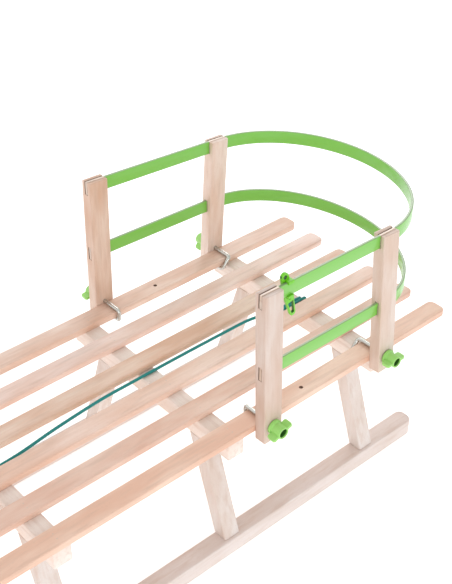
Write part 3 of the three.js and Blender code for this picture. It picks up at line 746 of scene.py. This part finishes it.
def painted_band(name, colour, edge_colour, bare_stretches):
    """A wooden band in green lacquer, greyer on its edges and left bare on the stretches in the posts, with
    painted shade where its mesh marks it.
    """
    material, tree, shader = new_material(name, {
        "Roughness": 0.4, "Coat Weight": 0.55, "Coat Roughness": 0.15,
    })
    where = add_node(tree, "ShaderNodeTexCoord").outputs["Object"]
    y = add_node(tree, "ShaderNodeSeparateXYZ", inputs={"Vector": where}).outputs["Y"]
    bare = 0.0
    for start, end in bare_stretches:
        inside = add_node(tree, "ShaderNodeMath", {"operation": "COMPARE"}, {
            0: y, 1: (start + end) / 2, 2: (end - start) / 2,
        }).outputs[0]
        bare = add_node(tree, "ShaderNodeMath", {"operation": "MAXIMUM"}, {0: inside, 1: bare}).outputs[0]
    wood = beech_look(tree, "Y", 31.0, "ecdccd", "e2c8b1", "c09a7c")[0]
    lacquer = mixed(tree, marked(tree, "edge"), linear(colour), linear(edge_colour))
    tree.links.new(mixed(tree, bare, lacquer, wood), shader.inputs["Base Color"])
    return material


def band_x(lean, height):
    """How far from the middle a leaning post's own middle is at a height over the seat."""
    return SEAT_EDGE + POST_GAP + POST_THICKNESS / 2 - lean * height


def band_mesh(name, height, reach, slope):
    """A flat strip from post to post that slopes down to the rear and bends round behind the seat."""
    def rise(y):
        return height - slope * (y - FRONT_POST_Y - POST_DEPTH / 2)

    front_x = band_x(FRONT_LEAN, height)
    rear_x = band_x(REAR_LEAN, rise(REAR_POST_Y))
    start = FRONT_POST_Y + BAND_SETBACK
    bend = REAR_POST_Y + POST_DEPTH / 2
    depth = ARCH_BACK + reach - bend
    arm = []
    for i in range(ARM_STEPS):
        arm.append((front_x + (rear_x - front_x) * i / ARM_STEPS, start + (bend - start) * i / ARM_STEPS))
    arc = []
    for i in range(BAND_STEPS + 1):
        angle = math.pi * i / BAND_STEPS
        arc.append((rear_x * math.cos(angle), bend + depth * math.sin(angle)))
    middle = [Vector((x, y, 0)) for x, y in arm + arc + [(-x, y) for x, y in reversed(arm)]]
    section = rounded_section(BAND_THICKNESS, BAND_HEIGHT, BAND_ROUNDING)
    rings = []
    for point, tangent in zip(middle, directions(middle)):
        outwards = Vector((tangent.y, -tangent.x, 0))
        ring = []
        for across, up in section:
            place = point + outwards * across
            place.z = SEAT_TOP + rise(place.y) + up
            ring.append(place)
        rings.append(ring)
    mesh = sweep(name, rings)
    painted_shade = mesh.attributes.new("painted_shade", "FLOAT", "POINT")
    for i in range(len(section)):
        painted_shade.data[i].value = BAND_END_SHADE
        painted_shade.data[-1 - i].value = BAND_END_SHADE
    edge = mesh.attributes.new("edge", "FLOAT", "POINT")
    for i in range(len(mesh.vertices)):
        up = abs(section[i % len(section)][1])
        edge.data[i].value = max(0.0, 1 - (BAND_HEIGHT / 2 - up) / BAND_ROUNDING)
    return mesh


in_posts = [(y, y + POST_DEPTH) for y in (FRONT_POST_Y, REAR_POST_Y)]
green_lacquer = painted_band("green_lacquer", "79c248", "86a070", in_posts)
for place, (height, reach, slope) in BANDS.items():
    name = f"band_{place}_bent"
    mesh = band_mesh(name, height, reach, slope)
    piece(name, mesh, green_lacquer, "backrest", [f"backrest_band_{place}"])
print("vertices in the last band:", len(mesh.vertices))

# %% [markdown]
# ## Hook bolts
# A bent steel rod goes through the foot of each post, over the outer slat and round its inner edge, and a
# wing nut pulls it tight. Its solid is faceted, and a highlight on so thin a rod would show that, so it
# is a tube along the same line. The rear hooks are swung forwards, clear of the rear crossbeam.

# %% Hook bolts
ROD_RADIUS = 3 * MM
ROD_SIDES = 20
ROD_GAP = 3.3 * MM
ROD_Z = SEAT_TOP + ROD_GAP
SLAT_WIDTH = 29.5 * MM
SLAT_THICKNESS = 10.5 * MM
HOOK_GAP = 1.5 * MM
HOOK_BEND = 5 * MM
HOOK_STEPS = 12
HOOK_TIP = 12 * MM
TIP_CHAMFER = 0.6 * MM
TIP_END_RADIUS = 2.4 * MM
REAR_SWING = 0.7
FLANGE_RADIUS = 10.5 * MM
FLANGE_GAP = 0.6 * MM
NUT_LENGTH = 19 * MM
RECESS_DEPTH = 12 * MM
BOLT_END = 7 * MM
BOLT_CHAMFER = 0.8 * MM
BOLT_END_RADIUS = 2.3 * MM
BOLT_STRETCH = 4 * MM
# Each fixing's place and side, the middle of its post, the post's lean, the hook's swing and the nut's turn.
FIXINGS = [
    ("front_left", -1, FRONT_POST_Y + POST_DEPTH / 2, FRONT_LEAN, 0.0, 0.17),
    ("front_right", 1, FRONT_POST_Y + POST_DEPTH / 2, FRONT_LEAN, 0.0, 0.35),
    ("rear_left", -1, REAR_POST_Y + POST_DEPTH / 2, REAR_LEAN, REAR_SWING, 1.05),
    ("rear_right", 1, REAR_POST_Y + POST_DEPTH / 2, REAR_LEAN, REAR_SWING, 0.0),
]


def flange_x(lean):
    """Where a wing nut's flange starts, just clear of the leaning post."""
    lowest = ROD_GAP - FLANGE_RADIUS
    return SEAT_EDGE + FLANGE_GAP + POST_THICKNESS / math.cos(lean) - lowest * math.tan(lean)


def hook_mesh(name, side, y, lean, swing):
    """A rod with a chamfered outer end that hooks squarely round the slat's inner edge."""
    leg = SEAT_EDGE - SLAT_WIDTH - HOOK_GAP - ROD_RADIUS
    depth = (SLAT_THICKNESS + 2 * ROD_GAP) / math.cos(swing)
    end = flange_x(lean) + NUT_LENGTH - RECESS_DEPTH + BOLT_END

    def at(x, drop):
        return Vector((side * x, y - drop * math.sin(swing), ROD_Z - drop * math.cos(swing)))

    points = [at(end, 0), at(end - BOLT_CHAMFER, 0), at(end - BOLT_STRETCH, 0), at(SEAT_EDGE, 0)]
    for middle, start in ((HOOK_BEND, -90), (depth - HOOK_BEND, 180)):
        for i in range(HOOK_STEPS + 1):
            angle = math.radians(start - 90 * i / HOOK_STEPS)
            points.append(at(leg + HOOK_BEND * (1 + math.cos(angle)), middle + HOOK_BEND * math.sin(angle)))
    points += [at(leg + HOOK_TIP - TIP_CHAMFER, depth), at(leg + HOOK_TIP, depth)]
    radii = [BOLT_END_RADIUS] + [ROD_RADIUS] * (len(points) - 2) + [TIP_END_RADIUS]
    return sweep(name, tube_rings(points, radii, ROD_SIDES))


for place, side, y, lean, swing, _ in FIXINGS:
    name = f"hook_{place}_rod"
    mesh = hook_mesh(name, side, y, lean, swing)
    piece(name, mesh, zinc, "backrest", [f"hook_bolt_{place}"])
print("hook bolts:", len(FIXINGS))

# %% [markdown]
# ## Wing nuts
# Each is moulded in green plastic round a steel nut: a flange, a hub with a hollow end, and two wings. The
# hub could be cut out with a boolean, but a turned profile gives the lip its soft edge at once. The points
# in the hollow end carry a number that paints shade there, so the plastic is darker, as in the photograph.

# %% The look of moulded plastic
PLASTIC_PATCH = (3 * MM, 3 * MM)


def moulded(name, colour, roughness, shadow):
    """Plastic of one colour with a faint unevenness of gloss, and painted shade where its mesh says so."""
    material, tree, shader = new_material(name, {"Base Color": linear(colour)})
    shade = mixed(tree, marked(tree, "painted_shade"), linear(colour), linear(shadow))
    tree.links.new(shade, shader.inputs["Base Color"])
    uneven_gloss(tree, shader, PLASTIC_PATCH, 2.0, 2.0, roughness, 0.05)
    return material


green_plastic = moulded("green_plastic", "9bd66e", 0.38, "2f6a14")
lime_plastic = moulded("lime_plastic", "6fc61f", 0.3, "2c6a10")

# %% Wing nuts
HUB_SIDES = 40
WING_ROOT = 6.9 * MM
WING_REACH = 17 * MM
WING_THICKNESS = 4.5 * MM
WING_LOW = 5 * MM
WING_HIGH = 18 * MM
WING_CORNER = 2.5 * MM
WING_CORNER_STEPS = 6
WING_EDGE = 1.0 * MM
# Radius and height in millimetres: from the bore, round the flange, up the hub and down its recess.
NUT_PROFILE = [
    (3.3, 0), (10.1, 0), (10.5, 0.4), (10.5, 3.2), (10.2, 3.8), (9.6, 4.0),
    (9.0, 4.2), (8.6, 4.8), (8.5, 6.0), (8.5, 18.1), (8.2, 18.7), (7.6, 19.0),
    (6.8, 18.9), (6.4, 18.5), (6.2, 17.9), (6.2, 16.5), (6.2, 7.3), (5.9, 7.0),
    (3.3, 7.0),
]
# Points from this one on lie in the hollow end and get painted shade.
RECESS_START = 15


def add_hub(bm):
    """The flange and the hub, turned along +Z, with the points of the recess marked for painted shade."""
    painted_shade = bm.verts.layers.float.new("painted_shade")
    layers = []
    for k in range(HUB_SIDES):
        angle = 2 * math.pi * k / HUB_SIDES
        ring = []
        for i, (radius, height) in enumerate(NUT_PROFILE):
            out = radius * MM
            vert = bm.verts.new((out * math.cos(angle), out * math.sin(angle), height * MM))
            vert[painted_shade] = float(i >= RECESS_START)
            ring.append(vert)
        layers.append(ring)
    skin(bm, layers + layers[:1])


def add_wing(bm, way):
    """One flat wing with two rounded corners and soft edges."""
    outline = [(WING_ROOT, WING_LOW)]
    for start, height in ((-90, WING_LOW + WING_CORNER), (0, WING_HIGH - WING_CORNER)):
        for i in range(WING_CORNER_STEPS + 1):
            angle = math.radians(start + 90 * i / WING_CORNER_STEPS)
            out = WING_REACH - WING_CORNER + WING_CORNER * math.cos(angle)
            outline.append((out, height + WING_CORNER * math.sin(angle)))
    outline.append((WING_ROOT, WING_HIGH))
    front, rear = [
        [bm.verts.new((x, way * out, height)) for out, height in outline]
        for x in (-WING_THICKNESS / 2, WING_THICKNESS / 2)
    ]
    bm.faces.new(front)
    bm.faces.new(rear[::-1])
    rims = []
    for i in range(len(outline)):
        j = (i + 1) % len(outline)
        bm.faces.new((front[i], front[j], rear[j], rear[i]))
        if i != len(outline) - 1:
            rims += [bm.edges.get((front[i], front[j])), bm.edges.get((rear[i], rear[j]))]
    bmesh.ops.bevel(
        bm, geom=rims, offset=WING_EDGE, offset_type="OFFSET", segments=3, profile=0.5, affect="EDGES",
        clamp_overlap=True, material=-1,
    )


def wing_nut_mesh(name, side, y, lean, turn):
    """A wing nut on its bolt, with its wings turned and its hollow end outwards."""
    bm = bmesh.new()
    add_hub(bm)
    for way in (-1, 1):
        add_wing(bm, way)
    place = (
        Matrix.Translation((side * flange_x(lean), y, ROD_Z))
        @ Matrix.Rotation(side * math.pi / 2, 4, "Y") @ Matrix.Rotation(side * turn, 4, "Z")
    )
    bmesh.ops.transform(bm, matrix=place, verts=bm.verts)
    return mesh_from(bm, name)


for place, side, y, lean, _, turn in FIXINGS:
    name = f"wing_nut_{place}_moulded"
    mesh = wing_nut_mesh(name, side, y, lean, turn)
    piece(name, mesh, green_plastic, f"wing_nut_{place}", [f"wing_nut_{place}"])
print("vertices in the last wing nut:", len(mesh.vertices))

# %% [markdown]
# ## The clip
# A small lime plate hangs on the upper band and slides along it. It has a round eye above, a hole and a
# long slot below. Its solid is copied with a fine bevel, and a test in the clip's own tilted plane tells
# the walls of its holes from its outline, so that shade is painted on those walls, which look dark in the
# photograph.

# %% The clip
CLIP_ROUNDING = 0.5 * MM
CLIP_PIVOT = Vector((0, 161.0 * MM, 439.5 * MM))
CLIP_TILT = 0.26
CLIP_LENGTH = 72 * MM
CLIP_HALF_WIDTH = 7.0 * MM
CLIP_SHOULDER = 41.8 * MM
CLIP_TAPER = 0.097
CLIP_PLATE_X = 170.9 * MM
SIDE_WALL = 1.7 * MM
TOP_WALL = 2 * MM
END_WALL = 1.5 * MM


def in_clip_hole(middle, normal):
    """Tell the walls of the clip's eye, hole and slot from its outline, a plate that narrows downwards."""
    place = Matrix.Rotation(-CLIP_TILT, 3, "X") @ (middle - CLIP_PIVOT)
    down = -place.z
    half = CLIP_HALF_WIDTH - max(0.0, down - CLIP_SHOULDER) * CLIP_TAPER
    inside = abs(place.y) < half - SIDE_WALL and TOP_WALL < down < CLIP_LENGTH - END_WALL
    return abs(normal.x) < 0.3 and inside and middle.x < CLIP_PLATE_X


# Painted shade on the walls of the clip's eye, hole and slot.
clip_mesh = softened("band_clip", CLIP_ROUNDING, 2, in_clip_hole)
piece("clip_moulded", clip_mesh, lime_plastic, "clip", ["band_clip"])
print("faces of the clip:", len(clip_mesh.polygons))

# %% [markdown]
# ## Studio
# The photograph is a product picture on plain white with hardly any shadow. White could be painted in
# afterwards, but then no light would come back from the floor. So the floor is pale and glows a little,
# the world looks white to the camera while it lights less, and three large soft lights shape the edges.

# %% Floor and world
FLOOR_HALF = 6.0
FLOOR_GLOW = 0.5
AMBIENT = 0.77

floor_mesh = bpy.data.meshes.new("studio_floor")
floor_corners = [(x * FLOOR_HALF, y * FLOOR_HALF, 0) for x, y in ((-1, -1), (1, -1), (1, 1), (-1, 1))]
floor_mesh.from_pydata(floor_corners, [], [(0, 1, 2, 3)])
floor_mesh.materials.append(new_material("studio_floor", {
    "Base Color": (0.9, 0.9, 0.9, 1), "Roughness": 0.9,
    "Emission Color": (1, 1, 1, 1), "Emission Strength": FLOOR_GLOW,
})[0])
floor = bpy.data.objects.new("studio_floor", floor_mesh)
bpy.context.scene.collection.objects.link(floor)

world = bpy.data.worlds.new("studio_white")
world.use_nodes = True
tree = world.node_tree
tree.nodes.clear()
ray = add_node(tree, "ShaderNodeLightPath")
seen = add_node(tree, "ShaderNodeMath", {"operation": "MAXIMUM"}, {
    0: ray.outputs["Is Camera Ray"], 1: ray.outputs["Is Glossy Ray"],
}).outputs[0]
ambient = add_node(tree, "ShaderNodeBackground", inputs={"Color": (0.98, 0.98, 1.0, 1), "Strength": AMBIENT})
backdrop = add_node(tree, "ShaderNodeBackground", inputs={"Color": (1, 1, 1, 1), "Strength": 1.0})
both = add_node(tree, "ShaderNodeMixShader", inputs={0: seen, 1: ambient.outputs[0], 2: backdrop.outputs[0]})
add_node(tree, "ShaderNodeOutputWorld", inputs={"Surface": both.outputs[0]})
bpy.context.scene.world = world

# %% Lights
LIGHT_AIM = Vector((0, 0.1, 0.2))
# Each light's name, its place, size and power, and its colour.
LIGHTS = [
    ("side_light", (3.0, -1.4, 1.5), 2.0, 30, (0.92, 0.97, 1.0)),
    ("left_light", (-2.6, -0.8, 1.8), 2.5, 14, (1.0, 0.98, 0.95)),
    ("back_light", (-1.5, 2.0, 1.75), 1.2, 16, (1.0, 1.0, 1.0)),
]


def soft_light(name, place, size, watts, colour):
    """A square area light that looks at the middle of the seat."""
    data = bpy.data.lights.new(name, "AREA")
    data.shape = "SQUARE"
    data.size = size
    data.energy = watts
    data.color = colour
    light = bpy.data.objects.new(name, data)
    light.location = place
    light.rotation_euler = (LIGHT_AIM - light.location).to_track_quat("-Z", "Y").to_euler()
    bpy.context.scene.collection.objects.link(light)


for settings in LIGHTS:
    soft_light(*settings)
bpy.context.scene.view_settings.view_transform = "Standard"
bpy.context.scene.view_settings.look = "None"
print("lights:", len(LIGHTS))
